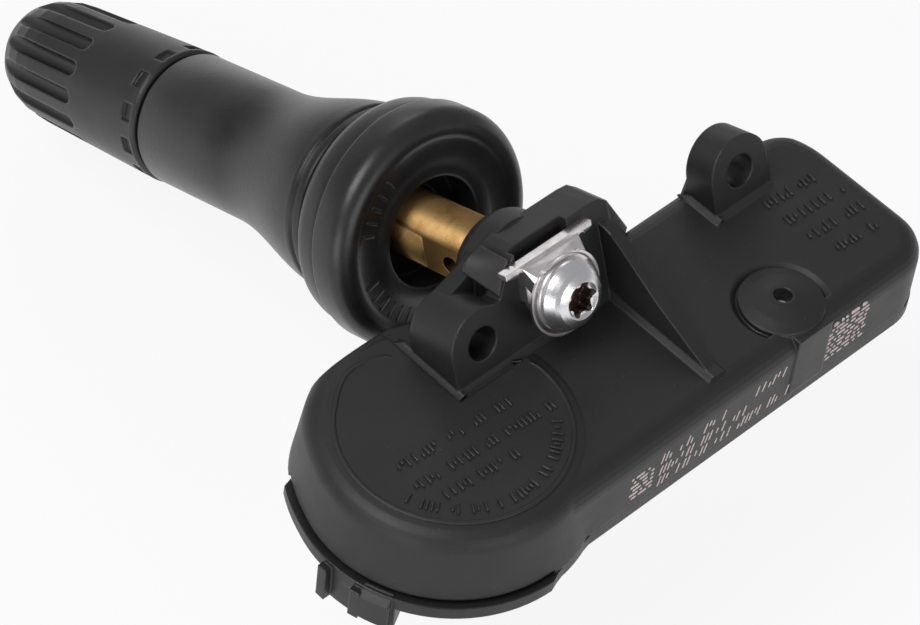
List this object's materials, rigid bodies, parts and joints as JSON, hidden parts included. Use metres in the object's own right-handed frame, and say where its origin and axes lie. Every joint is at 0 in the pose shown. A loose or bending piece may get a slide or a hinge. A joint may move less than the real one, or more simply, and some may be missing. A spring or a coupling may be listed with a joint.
{
  "type": "tyre pressure sensor",
  "caption": "Tyre pressure sensor: sealed black housing with round end, screwed to the brass stem of a snap-in rubber valve with a screw-on cap.",
  "frame": {"origin": "middle of the rim groove, on the valve axis", "axes": "+X along the housing, +Y towards the valve cap, +Z out of the housing's top deck; the valve axis lies in the YZ plane and dips 20.8 degrees below +Y"},
  "size_m": [0.0522, 0.0731, 0.0292],
  "materials": {
    "housing_plastic": "moulded, fine satin texture",
    "cover_plastic": "moulded, satin",
    "rubber": "smooth moulded rubber with a soft sheen",
    "cap_plastic": "moulded, satin",
    "liner_rubber": "soft seal",
    "stem_brass": "turned",
    "core_brass": "turned",
    "plate_steel": "bright pressed sheet",
    "screw_steel": "bright plated",
    "seal_rubber": "soft seal",
    "gasket_red": "soft seal",
    "spring_steel": "wire",
    "board": "solder mask",
    "cell_steel": "nickel plated",
    "tab_nickel": "nickel strip",
    "chip_black": "moulded package",
    "filter_white": "porous disc",
    "ferrite": "sintered",
    "copper_wire": "enamelled copper wire",
    "crystal_can": "plated can",
    "ceramic": "ceramic"
  },
  "bodies": {
    "root": {"housing": "housing_plastic", "base_cover": "cover_plastic", "clamp_plate": "plate_steel", "clamp_screw": "screw_steel", "rubber_stem": "rubber", "brass_stem": "stem_brass", "core_body": "core_brass", "core_gasket": "gasket_red", "core_spring": "spring_steel", "circuit_board": "board", "battery_cell": "cell_steel", "battery_tab_positive": "tab_nickel", "battery_tab_negative": "tab_nickel", "pressure_chip": "chip_black", "port_gasket": "gasket_red", "port_filter": "filter_white", "receiver_coil_core": "ferrite", "receiver_coil_winding": "copper_wire", "antenna_loop": "tab_nickel", "timing_crystal": "crystal_can", "board_capacitors": "ceramic", "motion_chip": "chip_black"},
    "liner": {"cap_liner": "liner_rubber"},
    "cap": {"valve_cap": "cap_plastic"},
    "valve_pin": {"core_pin": "core_brass", "core_plunger": "core_brass", "core_seat_seal": "seal_rubber"}
  },
  "joints": [
    {"name": "cap_lift", "type": "slide", "parent": "root", "child": "liner", "axis": [0, 0.9348, -0.3551], "range_m": [0, 0.00675]},
    {"name": "cap_turn", "type": "hinge", "parent": "liner", "child": "cap", "pos_m": [0, 0.03038, -0.01154], "axis": [0, 0.9348, -0.3551], "range_deg": [0, 3060]},
    {"name": "pin_press", "type": "slide", "parent": "root", "child": "valve_pin", "axis": [0, -0.9348, 0.3551], "range_m": [0, 0.0012], "stiffness_N_per_m": 1200, "springref_m": -0.0008, "deforming": ["core_spring"]}
  ],
  "couplings": [
    {"joint": "cap_turn", "follows": "cap_lift", "rad_per_m": 7913.3}
  ]
}
